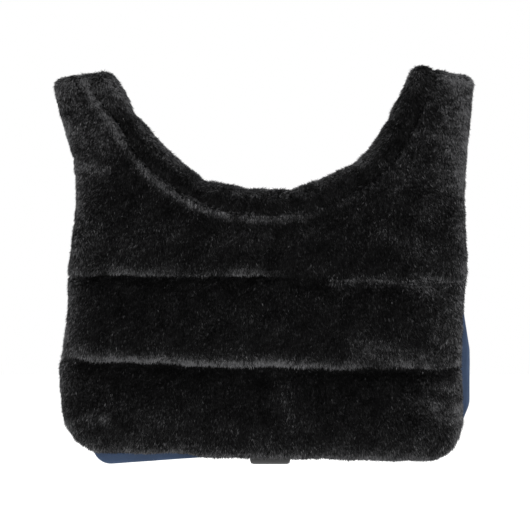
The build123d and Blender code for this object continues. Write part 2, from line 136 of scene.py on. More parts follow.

# painted highlight along the roll's seam, as (place from the left tip, strength)
SEAM_PAINTED_LIGHT = [(0, 0.44), (50, 0.44), (85, 0.40), (120, 0.60), (240, 0.56), (300, 0.48), (330, 0.28),
              (430, 0.18), (500, 0.20), (546, 0.24)]

# painted light and shade of the roll's nap along it, as (place, lift)
ROLL_PAINTED_LIGHT = [(0, 0.50), (15, 0.34), (45, 0.24), (65, 0.05), (120, -0.04), (200, -0.03), (400, 0.02),
              (440, -0.03), (500, 0.0), (520, 0.12), (535, 0.20), (546, 0.34)]

# how much painted light the roll's nap gets where it faces the neckline, as (place, lift)
ROLL_RIM_PAINTED_LIGHT = [(0, 0.60), (100, 0.66), (130, 0.82), (250, 0.82), (300, 0.66), (420, 0.66), (440, 0.42)]

# pile colours run from the dark base to the light tips in even steps of brightness; a strand's step holds
# its random tone and the painted light and shade of its nap
PILE_SHADE_COUNT = 10
PILE_DARKEST = 0.0016
PILE_LIGHTEST = 0.15


# ---- small helpers ----------------------------------------------------------------------


def link(mesh, name):
    obj = bpy.data.objects.new(name, mesh)
    bpy.context.scene.collection.objects.link(obj)
    return obj


def apply_modifiers(obj):
    """Bakes the object's modifiers into its mesh."""
    graph = bpy.context.evaluated_depsgraph_get()
    mesh = bpy.data.meshes.new_from_object(obj.evaluated_get(graph))
    old = obj.data
    obj.modifiers.clear()
    obj.data = mesh
    bpy.data.meshes.remove(old)


def coordinates(mesh):
    co = np.empty(len(mesh.vertices) * 3)
    mesh.vertices.foreach_get("co", co)
    return co.reshape(-1, 3)


def vertex_normals(mesh):
    normals = np.empty(len(mesh.vertices) * 3)
    mesh.vertex_normals.foreach_get("vector", normals)
    return normals.reshape(-1, 3)


def set_coordinates(mesh, co):
    mesh.vertices.foreach_set("co", np.ascontiguousarray(co).ravel())
    mesh.update()


def cover_with(mesh, material):
    """Gives a mesh one material in place of any that it has."""
    mesh.materials.clear()
    mesh.materials.append(material)


def smooth_shade(mesh):
    mesh.polygons.foreach_set("use_smooth", [True] * len(mesh.polygons))
    mesh.update()


def unit(vectors):
    length = np.linalg.norm(vectors, axis=-1, keepdims=True)
    return vectors / np.maximum(length, 1e-9)


def tube_faces(rings, count, flip=False):
    """Faces of a closed tube of rings of count vertices, with its two ends."""
    faces = []
    for ring in range(rings - 1):
        low, high = ring * count, (ring + 1) * count
        for index in range(count):
            after = (index + 1) % count
            face = (low + index, low + after, high + after, high + index)
            faces.append((face[0], face[3], face[2], face[1]) if flip else face)
    start = tuple(range(count))
    end = tuple(range((rings - 1) * count, rings * count))
    return faces + ([start, end[::-1]] if flip else [start[::-1], end])


def waves(points, size, seed, octaves=2):
    """Smooth noise of about -1 to 1, built from sine waves in random directions."""
    rng = np.random.default_rng(seed)
    total = np.zeros(len(points))
    weight = 1.0
    for _ in range(octaves):
        for _ in range(5):
            direction = unit(rng.normal(size=3))
            phase = rng.uniform(0, 2 * math.pi)
            pitch = size * rng.uniform(0.75, 1.3)
            total += weight * np.sin(points @ direction * 2 * math.pi / pitch + phase)
        size *= 0.45
        weight *= 0.55
    return total / 3.0


def segment_distance(x, z, x0, z0, x1, z1):
    """Distance from points to a segment, all in the bib's plane."""
    dx, dz = x1 - x0, z1 - z0
    along = ((x - x0) * dx + (z - z0) * dz) / (dx * dx + dz * dz)
    along = np.clip(along, 0, 1)
    return np.hypot(x - x0 - along * dx, z - z0 - along * dz)


def look_up(table, place):
    """Values at the given places, between the (place, value) pairs of a short table."""
    return np.interp(place, *zip(*table))


def seam_z(seam, x):
    """Height of a quilt seam, which wanders a little along its way."""
    return look_up(seam, x) + 1.1 * np.sin(x / 23.0 + seam[0][1]) + 0.7 * np.sin(x / 9.5 + 1.0)


def seam_gap(x, z):
    """Height above or below the nearer quilt seam."""
    return np.minimum(abs(z - seam_z(UPPER_SEAM, x)), abs(z - seam_z(LOWER_SEAM, x)))


def rounded_route(points, radii, step):
    """Points along straight runs joined by tangent arcs, about a step apart."""
    route = [np.array(points[0], float)]
    for before, corner, after, radius in zip(points, points[1:], points[2:], radii):
        corner = np.array(corner, float)
        into = unit(corner - np.array(before, float))
        out = unit(np.array(after, float) - corner)
        turn = math.acos(float(np.clip(into @ out, -1, 1)))
        reach = radius * math.tan(turn / 2)
        start, end = corner - into * reach, corner + out * reach
        steps = max(4, int(radius * turn / step))
        for index in range(steps + 1):
            t = index / steps
            route.append((1 - t) ** 2 * start + 2 * t * (1 - t) * corner + t * t * end)
    route.append(np.array(points[-1], float))
    dense = np.array(route)
    length = np.concatenate([[0], np.cumsum(np.linalg.norm(np.diff(dense, axis=0), axis=1))])
    places = np.linspace(0, length[-1], int(length[-1] / step) + 1)
    columns = [np.interp(places, length, dense[:, k]) for k in range(dense.shape[1])]
    return np.stack(columns, axis=1), places


NECK_ROUTE, NECK_PLACES = rounded_route(NECK_LINE, NECK_RADII, 3.0)


def nearest_neck(x, z):
    """Distance from the roll's middle line, and the number of its nearest point."""
    gaps = np.hypot(x[:, None] - NECK_ROUTE[None, :, 0], z[:, None] - NECK_ROUTE[None, :, 1])
    nearest = gaps.argmin(axis=1)
    return gaps[np.arange(len(x)), nearest], nearest


def neck_place(x, z):
    """Distance from the roll's middle line, and the place along it, for each point."""
    gap, nearest = nearest_neck(x, z)
    return gap, NECK_PLACES[nearest]


def tuck_to_roll(co, limit):
    """Draws cloth near the neckline in under the roll, where it is sewn; co is in mm."""
    gap, nearest = nearest_neck(co[:, 0], co[:, 2])
    route = NECK_ROUTE[nearest]
    share = SEAM_TUCK * np.clip((limit - gap) / (limit - 19), 0, 1) / np.maximum(gap, 1)
    co[:, 0] += (route[:, 0] - co[:, 0]) * share
    co[:, 2] += (route[:, 1] - co[:, 2]) * share
    return co


# ---- materials ----------------------------------------------------------------------------


class Nodes:
    """Short spelling for building one material's node tree."""

    def __init__(self, name):
        self.material = bpy.data.materials.new(name)
        self.material.use_nodes = True
        self.tree = self.material.node_tree
        self.shader = self.tree.nodes["Principled BSDF"]

    def add(self, kind, **values):
        node = self.tree.nodes.new(kind)
        for key, value in values.items():
            if key in node.inputs:
                node.inputs[key].default_value = value
            else:
                setattr(node, key, value)
        return node

    def wire(self, out, into):
        self.tree.links.new(out, into)

    def math(self, operation, a, b=0.5):
        node = self.add("ShaderNodeMath", operation=operation)
        for socket, value in zip(node.inputs, (a, b)):
            if isinstance(value, (int, float)):
                socket.default_value = value
            else:
                self.wire(value, socket)
        return node.outputs[0]

    def ramp(self, factor, stops):
        node = self.add("ShaderNodeValToRGB")
        elements = node.color_ramp.elements
        while len(elements) < len(stops):
            elements.new(0.5)
        for element, (place, colour) in zip(elements, stops):
            element.position = place
            element.color = (*colour, 1)
        self.wire(factor, node.inputs[0])
        return node.outputs[0]

    def noise(self, vector, scale, detail=4.0, roughness=0.55):
        node = self.add("ShaderNodeTexNoise", Scale=scale, Detail=detail, Roughness=roughness)
        self.wire(vector, node.inputs["Vector"])
        return node.outputs["Fac"]

    def bump(self, height, strength, distance):
        node = self.add("ShaderNodeBump", Strength=strength, Distance=distance)
        self.wire(height, node.inputs["Height"])
        self.wire(node.outputs[0], self.shader.inputs["Normal"])

    def finish(self, **values):
        for key, value in values.items():
            self.shader.inputs[key.replace("_", " ")].default_value = value
        return self.material

    def position(self):
        return self.add("ShaderNodeTexCoord").outputs["Object"]

    def split(self, vector):
        node = self.add("ShaderNodeSeparateXYZ")
        self.wire(vector, node.inputs[0])
        return node.outputs


def pile_materials():
    """One plain material for each step of tone and painted light and shade that a strand of pile can
    have.
    """
    shades = []
    ratio = PILE_LIGHTEST / PILE_DARKEST
    for index in range(PILE_SHADE_COUNT):
        value = PILE_DARKEST * ratio ** (index / (PILE_SHADE_COUNT - 1))
        nodes = Nodes(f"pile_{index}")
        nodes.shader.inputs["Base Color"].default_value = (value, value, value * 1.03, 1)
        shades.append(nodes.finish(Roughness=0.55, Specular_IOR_Level=0.08))
    return shades


def fur_ground_material():
    """Dark knitted ground that the pile stands on."""
    nodes = Nodes("fur_ground")
    place = nodes.position()
    grain = nodes.noise(place, 900, 3)
    colour = nodes.ramp(grain, [(0.3, (0.0025, 0.0025, 0.0028)), (0.75, (0.012, 0.012, 0.0125))])
    nodes.wire(colour, nodes.shader.inputs["Base Color"])
    nodes.bump(grain, 0.6, 0.0006)
    return nodes.finish(Roughness=0.9, Specular_IOR_Level=0.1)


def woven_material(name, dark, light, pitch, rib=1.0, roughness=0.75):
    """Plain weave: crossing threads a pitch apart, uneven in colour and height."""
    nodes = Nodes(name)
    place = nodes.position()
    across, _, up = nodes.split(place)
    warp = nodes.math("SINE", nodes.math("MULTIPLY", across, 2 * math.pi / pitch))
    weft = nodes.math("SINE", nodes.math("MULTIPLY", up, 2 * math.pi * rib / pitch))
    weave = nodes.math("MULTIPLY_ADD", nodes.math("MULTIPLY", warp, weft), 0.5)
    weave.node.inputs[2].default_value = 0.5
    blotch = nodes.noise(place, 28, 5)
    fibre = nodes.noise(place, 1400, 3)
    mixed = nodes.math("ADD", nodes.math("MULTIPLY", weave, 0.45), nodes.math("MULTIPLY", blotch, 0.35))
    mixed = nodes.math("ADD", mixed, nodes.math("MULTIPLY", fibre, 0.2))
    nodes.wire(nodes.ramp(mixed, [(0.2, dark), (0.8, light)]), nodes.shader.inputs["Base Color"])
    nodes.bump(nodes.math("ADD", weave, nodes.math("MULTIPLY", fibre, 0.4)), 0.5, 0.0003)
    return nodes.finish(Roughness=roughness, Specular_IOR_Level=0.25, Sheen_Weight=0.15)


def thread_material():
    """Twisted navy sewing thread."""
    nodes = Nodes("thread")
    place = nodes.position()
    twist = nodes.noise(place, 2200, 2)
    colours = [(0.3, (0.010, 0.016, 0.034)), (0.7, (0.035, 0.052, 0.090))]
    nodes.wire(nodes.ramp(twist, colours), nodes.shader.inputs["Base Color"])
    nodes.bump(twist, 0.5, 0.0002)
    return nodes.finish(Roughness=0.55, Specular_IOR_Level=0.35)


def steel_material(name, tint, roughness):
    """Plated wire with fine drawing marks, dulled in places by handling."""
    nodes = Nodes(name)
    place = nodes.position()
    marks = nodes.noise(place, 650, 6, 0.7)
    wear = nodes.noise(place, 60, 4)
    low = tuple(value * 0.72 for value in tint)
    nodes.wire(nodes.ramp(wear, [(0.35, low), (0.65, tint)]), nodes.shader.inputs["Base Color"])
    rough = nodes.math("ADD", nodes.math("MULTIPLY", wear, 0.18), roughness)
    nodes.wire(rough, nodes.shader.inputs["Roughness"])
    nodes.bump(marks, 0.12, 0.0002)
    return nodes.finish(Metallic=1.0)


def plastic_material(name, colour, scale, strength):
    """Moulded plastic with a fine grain."""
    nodes = Nodes(name)
    place = nodes.position()
    grain = nodes.noise(place, scale, 3)
    light = tuple(value * 1.8 + 0.004 for value in colour)
    nodes.wire(nodes.ramp(grain, [(0.35, colour), (0.7, light)]), nodes.shader.inputs["Base Color"])
    nodes.bump(grain, strength, 0.0003)
    return nodes.finish(Roughness=0.5, Specular_IOR_Level=0.4)


def hook_material():
    """Rows of moulded hooks, a millimetre and a half apart."""
    nodes = Nodes("hook_tape")
    across, _, up = nodes.split(nodes.position())
    row = nodes.math("SINE", nodes.math("MULTIPLY", across, 2 * math.pi / 0.0015))
    column = nodes.math("SINE", nodes.math("MULTIPLY", up, 2 * math.pi / 0.0015))
    dots = nodes.math("MAXIMUM", nodes.math("MULTIPLY", row, column), 0.0)
    colours = [(0.1, (0.006, 0.006, 0.007)), (0.8, (0.035, 0.035, 0.037))]
    nodes.wire(nodes.ramp(dots, colours), nodes.shader.inputs["Base Color"])
    nodes.bump(dots, 0.9, 0.0008)
    return nodes.finish(Roughness=0.45)


def floor_material():
    """Plain pale floor, faintly uneven."""
    nodes = Nodes("studio_floor")
    haze = nodes.noise(nodes.position(), 3, 2)
    colours = [(0.3, (0.90, 0.90, 0.90)), (0.7, (0.93, 0.93, 0.93))]
    nodes.wire(nodes.ramp(haze, colours), nodes.shader.inputs["Base Color"])
    nodes.shader.inputs["Emission Color"].default_value = (1, 1, 1, 1)
    return nodes.finish(Roughness=0.9, Specular_IOR_Level=0.1, Emission_Strength=0.12)


# ---- camera, light and floor -----------------------------------------------------------


FRAME_MARGIN = 530 / 420
CAMERA_DISTANCE = 3.2
SENSOR = 36.0
FLOOR_GAP = 0.14


def make_camera():
    """Level camera square to the fur side, framing the bib with the margin it needs."""
    middle = (cad_low + cad_high) / 2
    width = (cad_high.x - cad_low.x) * FRAME_MARGIN
    data = bpy.data.cameras.new("camera")
    data.sensor_width = SENSOR
    data.lens = SENSOR * CAMERA_DISTANCE / width
    camera = bpy.data.objects.new("camera", data)
    camera.location = (middle.x + 0.0015, -CAMERA_DISTANCE, middle.z)
    camera.rotation_euler = (math.radians(90), 0, 0)
    bpy.context.scene.collection.objects.link(camera)
    bpy.context.scene.camera = camera


def area_light(name, place, size, power):
    data = bpy.data.lights.new(name, "AREA")
    data.shape = "DISK"
    data.size = size
    data.energy = power
    light = bpy.data.objects.new(name, data)
    light.location = place
    aim = Vector((0, 0, -0.1)) - Vector(place)
    light.rotation_euler = aim.to_track_quat("-Z", "Y").to_euler()
    bpy.context.scene.collection.objects.link(light)


def make_studio():
    """White surroundings, three soft lights and the floor."""
    world = bpy.data.worlds.new("studio")
    world.use_nodes = True
    world.node_tree.nodes["Background"].inputs["Color"].default_value = (1, 1, 1, 1)
    world.node_tree.nodes["Background"].inputs["Strength"].default_value = 1.0
    bpy.context.scene.world = world
    bpy.context.scene.view_settings.view_transform = "Standard"
    area_light("key", (-1.3, -1.9, 1.7), 0.9, 26)
    area_light("fill", (1.7, -1.6, 0.4), 1.2, 9)
    area_light("back", (0.6, 2.0, 1.4), 1.2, 22)
    mesh = bpy.data.meshes.new("studio_floor")
    level = cad_low.z - FLOOR_GAP
    corners = [(-6, -6, level), (6, -6, level), (6, 6, level), (-6, 6, level)]
    mesh.from_pydata(corners, [], [(0, 1, 2, 3)])
    mesh.materials.append(floor_material())
    link(mesh, "studio_floor")


# ---- soft bodies --------------------------------------------------------------------------


def joined_copy(name, nodes, grow=None):
    """A new mesh object with the CAD solids' shapes, some of them grown to overlap."""
    build = bmesh.new()
    for node in nodes:
        mesh = frame["nodes"][node].data.copy()
        if grow and node in grow:
            weld = bmesh.new()
            weld.from_mesh(mesh)
            bmesh.ops.remove_doubles(weld, verts=weld.verts, dist=1e-6)
            weld.normal_update()
            for vertex in weld.verts:
                vertex.co += vertex.normal * grow[node]
            weld.to_mesh(mesh)
            weld.free()
        build.from_mesh(mesh)
        bpy.data.meshes.remove(mesh)
    mesh = bpy.data.meshes.new(name)
    build.to_mesh(mesh)
    build.free()
    return link(mesh, name)


def remesh(obj, voxel):
    modifier = obj.modifiers.new("remesh", "REMESH")
    modifier.mode = "VOXEL"
    modifier.voxel_size = voxel
    apply_modifiers(obj)


def inflate(obj, pinned, pressure=4.0, cap=0.006, steps=20):
    """Swells a closed cloth skin by its inner pressure, held where it is pinned."""
    before = coordinates(obj.data)
    group = obj.vertex_groups.new(name="pins")
    group.add([int(i) for i in np.flatnonzero(pinned)], 1.0, "REPLACE")
    modifier = obj.modifiers.new("cloth", "CLOTH")
    settings = modifier.settings
    settings.vertex_group_mass = "pins"
    settings.quality = 5
    settings.mass = 0.3
    settings.tension_stiffness = 15
    settings.compression_stiffness = 15
    settings.shear_stiffness = 8
    settings.bending_stiffness = 0.6
    settings.use_pressure = True
    settings.uniform_pressure_force = pressure
    settings.effector_weights.gravity = 0
    modifier.collision_settings.use_collision = False
    modifier.collision_settings.use_self_collision = False
    scene = bpy.context.scene
    scene.frame_start, scene.frame_end = 1, steps
    for index in range(1, steps + 1):
        scene.frame_set(index)
    apply_modifiers(obj)
    scene.frame_set(1)
    moved = coordinates(obj.data) - before
    length = np.linalg.norm(moved, axis=1, keepdims=True)
    capped = cap * np.tanh(length / cap)
    set_coordinates(obj.data, before + unit(moved) * capped)
    obj.vertex_groups.clear()


def subdivide(obj, levels=1):
    modifier = obj.modifiers.new("smooth", "SUBSURF")
    modifier.levels = levels
    modifier.render_levels = levels
    apply_modifiers(obj)
    smooth_shade(obj.data)


def make_pad_skin():
    """The lined pad without its pile: quilted, swollen and rounded at the rim."""
    skin = joined_copy("fur_skin", ["fur_lining", "wadding"], {"wadding": 1.5 * MM})
    remesh(skin, 0.005)
    co = coordinates(skin.data)
    pull = vertex_normals(skin.data) * (PILE_DEPTH * 0.9) * MM
    pull[:, 1] = np.minimum(pull[:, 1], 0)
    set_coordinates(skin.data, co - pull)
    co = coordinates(skin.data)
    normals = vertex_normals(skin.data)
    x, y, z = (co / MM).T
    pinned = (seam_gap(x, z) < 4.5) | (abs(normals[:, 1]) < 0.45) | (y > 0)
    inflate(skin, pinned, cap=0.005)
    subdivide(skin)
    co = tuck_to_roll(coordinates(skin.data) / MM, 48) * MM
    lumps = waves(co / MM, 38, 3) * 0.9 + waves(co / MM, 14, 5) * 0.35
    co += vertex_normals(skin.data) * lumps[:, None] * MM
    x, _, z = (co / MM).T
    neck_gap, _ = neck_place(x, z)
    # the back stays inside the shell, which dips along its seams and beside the roll
    back = PAD_BACK_Y - 1.7 * np.exp(-((seam_gap(x, z) / 24) ** 2))
    back -= 1.4 * np.exp(-(((neck_gap - 24) / 9) ** 2))
    co[:, 1] = np.minimum(co[:, 1], back * MM)
    set_coordinates(skin.data, co)
    return skin


# creases across the roll: (place along it from the left tip, half width, depth), in mm
ROLL_CREASES = [
    (62, 13, 3.6),
    (157, 8, 1.5),
    (188, 10, 5.0),
    (246, 7, 1.8),
    (302, 9, 3.0),
    (388, 14, 1.8),
    (471, 7, 2.2),
    (500, 9, 1.0),
]

# the roll's fullness: (place, radius of its cloth)
ROLL_FULLNESS = [(0, 14.2), (20, 15.2), (40, 14), (62, 12.8), (95, 14.2), (115, 16), (145, 16), (175, 15),
                 (260, 15), (400, 14.5), (440, 16.5), (546, 15.3)]
ROLL_SIDES = 40


def make_roll_skin():
    """Tube along the neckline, pinched at its creases and swollen between them."""
    rings, places = rounded_route(NECK_LINE, NECK_RADII, 4.0)
    length = places[-1]
    tangent = unit(np.gradient(rings, axis=0))
    across = np.stack([-tangent[:, 1], tangent[:, 0]], axis=1)
    verts, pins = [], []
    for ring, side, place in zip(rings, across, places):
        pinch = 0.0
        for centre, half, depth in ROLL_CREASES:
            pinch += depth * math.exp(-(((place - centre) / half) ** 2))
        end = min(place, length - place)
        cap = math.sqrt(max(0.02, 1 - max(0.0, 1 - end / 9.0) ** 2))
        radius = (look_up(ROLL_FULLNESS, place) - 1.0 - pinch) * cap
        for index in range(ROLL_SIDES):
            angle = 2 * math.pi * index / ROLL_SIDES
            out = radius * math.cos(angle)
            slant = 0.12 * pinch * math.sin(angle)
            x = ring[0] + side[0] * out
            z = ring[1] + side[1] * out
            verts.append(((x + slant) * MM, radius * math.sin(angle) * MM, z * MM))
            pins.append(pinch > 1.2 or end < 9 or abs(angle - math.pi) < 0.4)
    mesh = bpy.data.meshes.new("neck_roll_skin")
    mesh.from_pydata(verts, [], tube_faces(len(rings), ROLL_SIDES, flip=True))
    mesh.update()
    roll = link(mesh, "neck_roll_skin")
    inflate(roll, np.array(pins), cap=0.0035)
    subdivide(roll)
    co = coordinates(roll.data)
    lumps = waves(co / MM, 22, 11) * 0.5
    set_coordinates(roll.data, co + vertex_normals(roll.data) * lumps[:, None] * MM)
    return roll


# ---- pile -----------------------------------------------------------------------------------

STRAND_LENGTH = 5.8
STRAND_WIDTH = 0.82
ROLL_STRANDS = 64000

# the pad's pile in bands: (name, lowest z, highest z, strands)
PILE_BANDS = [
    ("fur_arms", 20, 400, 72000),
    ("fur_breast", -45, 20, 74000),
    ("fur_chest", -105, -45, 72000),
    ("fur_middle", -160, -105, 66000),
    ("fur_belly", -215, -160, 66000),
    ("fur_flank", -268, -215, 66000),
    ("fur_hem", -400, -268, 84000),
]


def rim_tree(skin):
    """Search tree of the pad's outer rim, apart from the neckline."""
    co, normals = coordinates(skin.data) / MM, vertex_normals(skin.data)
    gap, _ = neck_place(co[:, 0], co[:, 2])
    rim = co[(abs(normals[:, 1]) < 0.25) & (gap > 34)]
    tree = KDTree(len(rim))
    for index, (x, _, z) in enumerate(rim):
        tree.insert((x, 0, z), index)
    tree.balance()
    return tree


def pad_painted_light(rim):
    """Painted light and shade of the pad's nap, with some random tone, about 0 to 1, as a function of the
    place of each root.
    """

    def painted_light_of(mm, _):
        x, _, z = mm.T
        flat = mm * (1, 0, 1)
        edge = np.array([rim.find((px, 0, pz))[2] for px, pz in zip(x, z)])
        # mottled painted light of the nap as it lies this way and that, with tone that differs at random
        light = 0.15 + 0.04 * waves(flat, 110, 21) + 0.07 * waves(flat * (1, 1, 1.9), 42, 23)
        light += 0.08 * waves(flat * (1, 1, 3.4), 19, 25) + 0.09 * waves(flat * (1, 1, 2.2), 6, 27)
        ragged = 0.85 + 0.3 * waves(flat, 15, 29)
        # strokes of painted light where the nap turns to the light
        for x0, z0, x1, z1, half, strength in PAINTED_LIGHT_STROKES:
            off = segment_distance(x, z, x0, z0, x1, z1) / half
            light += STROKE_GAIN * strength * ragged * np.exp(-off * off)
        # painted highlight where the nap lies over each seam, and painted shade below it under the
        # channel above
        for seam, ridge, overhang, shade, reach in SEAM_PAINTED_LIGHT_AND_SHADE:
            strength = look_up(ridge, x)
            above = z - seam_z(seam, x) - overhang
            fall = np.where(above > 0, np.exp(-((np.maximum(above, 0) / 10.0) ** 1.5)), 0.0)
            light += strength * fall * (0.5 + 0.5 * ragged)
            depth = shade * np.clip(0.4 + strength, 0, 1) * np.clip(edge / 20, 0, 1)
            light -= np.where(above <= 0, depth * np.exp(above / reach), 0.0)
        # painted highlight along the roll's seam
        gap, place = neck_place(x, z)
        beside_roll = np.exp(-((np.maximum(gap - 19, 0) / 4.8) ** 2))
        light += look_up(SEAM_PAINTED_LIGHT, place) * (0.5 + 0.5 * ragged) * beside_roll
        # painted light at the rim, where its strands turn to the light, a little more on the right
        side = 1 + 0.2 * np.clip(x / 120, -1, 1)
        return light + 0.32 * np.exp(-edge / 4) + 0.38 * side * np.exp(-edge / 17)

    return painted_light_of


def roots_on(skin, count, keep, rng):
    """Random places on a skin, spread by area, where keep(centre, normal) is not zero."""
    mesh = skin.data
    mesh.calc_loop_triangles()
    corners = np.empty(len(mesh.loop_triangles) * 3, np.int64)
    mesh.loop_triangles.foreach_get("vertices", corners)
    corners = corners.reshape(-1, 3)
    co, normals = coordinates(mesh), vertex_normals(mesh)
    a, b, c = co[corners[:, 0]], co[corners[:, 1]], co[corners[:, 2]]
    facing = np.cross(b - a, c - a)
    area = np.linalg.norm(facing, axis=1) / 2
    share = area * keep((a + b + c) / 3 / MM, unit(facing))
    chosen = rng.choice(len(corners), size=count, p=share / share.sum())
    u, v = rng.random(count), rng.random(count)
    flip = u + v > 1
    u[flip], v[flip] = 1 - u[flip], 1 - v[flip]
    weights = np.stack([1 - u - v, u, v], axis=1)[:, :, None]
    places = (co[corners[chosen]] * weights).sum(axis=1)
    return places, unit((normals[corners[chosen]] * weights).sum(axis=1))


def grow_pile(name, skin, count, keep, comb, seed, painted_light_of):
    """Narrow bent strands, pointed at both ends, rooted on a skin and lying as comb says."""
    rng = np.random.default_rng(seed)
    roots, normals = roots_on(skin, count, keep, rng)
    mm = roots / MM
    sway = np.stack([waves(mm, 34, seed + k) for k in (1, 2, 3)], axis=1)
    tuft = np.stack([waves(mm, 6, seed + k, 1) for k in (4, 5, 6)], axis=1)
    lay = unit(comb(mm) + 0.30 * sway + 0.30 * tuft + 0.24 * rng.normal(size=(count, 3)))
    lay = unit(lay - normals * (lay * normals).sum(axis=1, keepdims=True))
    lift = np.radians(33 + 8 * waves(mm, 24, seed + 7) + rng.normal(0, 10, count))[:, None]
    tip_way = lay * np.cos(lift) + normals * np.sin(lift)
    root_way = unit(lay * 0.7 + normals)
    reach = (STRAND_LENGTH * (1 + 0.18 * rng.normal(size=count)) * MM)[:, None]
    half = (STRAND_WIDTH / 2 * (1 + 0.25 * rng.normal(size=count)) * MM)[:, None]
    roll = rng.uniform(-0.8, 0.8, count)[:, None]
    side = unit(np.cross(tip_way, normals))
    side = side * np.cos(roll) + np.cross(tip_way, side) * np.sin(roll)
    start = roots - normals * 0.5 * MM
    middle = start + root_way * reach * 0.45
    tip = middle + tip_way * reach * 0.6
    corners = [start, middle - side * half, middle + side * half, tip]
    verts = np.stack(corners, axis=1).reshape(-1, 3)
    base = (np.arange(count) * 4)[:, None]
    pattern = np.array([0, 2, 1, 1, 2, 3])[None, :]
    mesh = bpy.data.meshes.new(name)
    mesh.vertices.add(len(verts))
    mesh.vertices.foreach_set("co", verts.ravel())
    mesh.loops.add(count * 6)
    mesh.loops.foreach_set("vertex_index", (base + pattern).ravel())
    mesh.polygons.add(count * 2)
    mesh.polygons.foreach_set("loop_start", np.arange(0, count * 6, 3))
    mesh.update(calc_edges=True)
    # each strand's step of painted light and shade from its place, with random tone of its own
    light = painted_light_of(mm, normals) + 0.24 * rng.normal(size=count)
    shade = np.clip(np.round(light * (PILE_SHADE_COUNT - 1)), 0, PILE_SHADE_COUNT - 1)
    for material in PILE:
        mesh.materials.append(material)
    mesh.polygons.foreach_set("material_index", np.repeat(shade.astype(np.int32), 2))
    smooth_shade(mesh)
    piece = link(mesh, name)
    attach(piece, "root")
    return piece


def comb_down(mm):
    """The pad's nap: down, a little forward, and outward towards the sides."""
    lay = np.tile(np.array([0.0, -0.15, -1.0]), (len(mm), 1))
    lay[:, 0] += 0.25 * np.clip(mm[:, 0] / 250, -1, 1)
    return lay


def comb_roll(mm):
    """The roll's nap: down towards the panel, slightly along the roll."""
    _, place = neck_place(mm[:, 0], mm[:, 2])
    lean = 0.35 * np.sin(place / 38)
    return np.stack([lean, np.full(len(mm), -0.1), np.full(len(mm), -1.0)], axis=1)


def on_pad(low_z, high_z):
    """Roots between two heights on the pad's front and rim, none on its back and few in a seam."""

    def keep(mm, facing):
        x, y, z = mm.T
        share = (y < 8.2) * (facing[:, 1] < 0.6) * (z >= low_z) * (z < high_z)
        for seam in (UPPER_SEAM, LOWER_SEAM):
            below = seam_z(seam, x) - z
            share = share * np.where((below > -0.5) & (below < 2.5), 0.15, 1.0)
        return share.astype(float)

    return keep


def on_roll(low_x, high_x):
    """Roots all round one stretch of the roll."""

    def keep(mm, _):
        return ((mm[:, 0] >= low_x) & (mm[:, 0] < high_x)).astype(float)

    return keep


def roll_painted_light(mm, normals):
    """Painted shade on the roll's panel side, painted light towards the neckline and at its ends."""
    _, place = neck_place(mm[:, 0], mm[:, 2])
    ahead = unit(np.gradient(NECK_ROUTE, axis=0))
    inward = np.stack([np.interp(place, NECK_PLACES, -ahead[:, 1]),
                       np.interp(place, NECK_PLACES, ahead[:, 0])], axis=1)
    facing = np.clip((normals[:, [0, 2]] * inward).sum(axis=1), 0, 1)
    light = 0.20 + 0.04 * waves(mm, 46, 41) + 0.05 * waves(mm, 15, 43) + 0.06 * waves(mm, 6, 45)
    # painted light along the roll, and more where it faces the neckline
    light += look_up(ROLL_PAINTED_LIGHT, place)
    light += look_up(ROLL_RIM_PAINTED_LIGHT, place) * facing**1.1
    # painted shade in each crease and painted highlight on the side beyond it
    for centre, half, _ in ROLL_CREASES:
        light -= 0.10 * np.exp(-(((place - centre) / (half * 0.6)) ** 2))
        light += 0.10 * facing * np.exp(-(((place - centre - half * 1.3) / half) ** 2))
    return light


def make_fur(skin, roll):
    """Pile in bands over the pad, and in two halves over the roll."""
    shading = pad_painted_light(rim_tree(skin))
    for index, (name, low, high, count) in enumerate(PILE_BANDS):
        grow_pile(name, skin, count, on_pad(low, high), comb_down, 100 + 10 * index, shading)
    grow_pile("fur_roll_left", roll, ROLL_STRANDS, on_roll(-400, 0), comb_roll, 200, roll_painted_light)
    grow_pile("fur_roll_right", roll, ROLL_STRANDS, on_roll(0, 400), comb_roll, 210, roll_painted_light)


# ---- woven shell -----------------------------------------------------------------------


def boundary_tree(outline):
    """Search tree of the points along a flat mesh's outer edge."""
    edges = [edge for edge in outline.edges if edge.is_boundary]
    points = []
    for edge in edges:
        a, b = (vertex.co for vertex in edge.verts)
        steps = max(1, int((b - a).length / 0.003))
        points += [a.lerp(b, index / steps) for index in range(steps)]
    tree = KDTree(len(points))
    for index, point in enumerate(points):
        tree.insert((point.x, 0, point.z), index)
    tree.balance()
    return tree


LYING_ON_SHELL = ("centre_webbing", "wither_strap", "wither_strap_sewn_end", "ring_tab", "d_ring",
                  "snap_eye", "snap_body", "strap_slider")


def hardware_share(x, z):
    """1 where webbing or fittings lie on the shell, fading to 0 around them."""
    share = np.zeros_like(x)
    for node in LYING_ON_SHELL:
        low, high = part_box(node)
        off_x = np.maximum(np.maximum(low.x / MM - x, x - high.x / MM), 0)
        off_z = np.maximum(np.maximum(low.z / MM - z, z - high.z / MM), 0)
        share = np.maximum(share, np.exp(-((np.hypot(off_x, off_z) / 9) ** 2)))
    return share


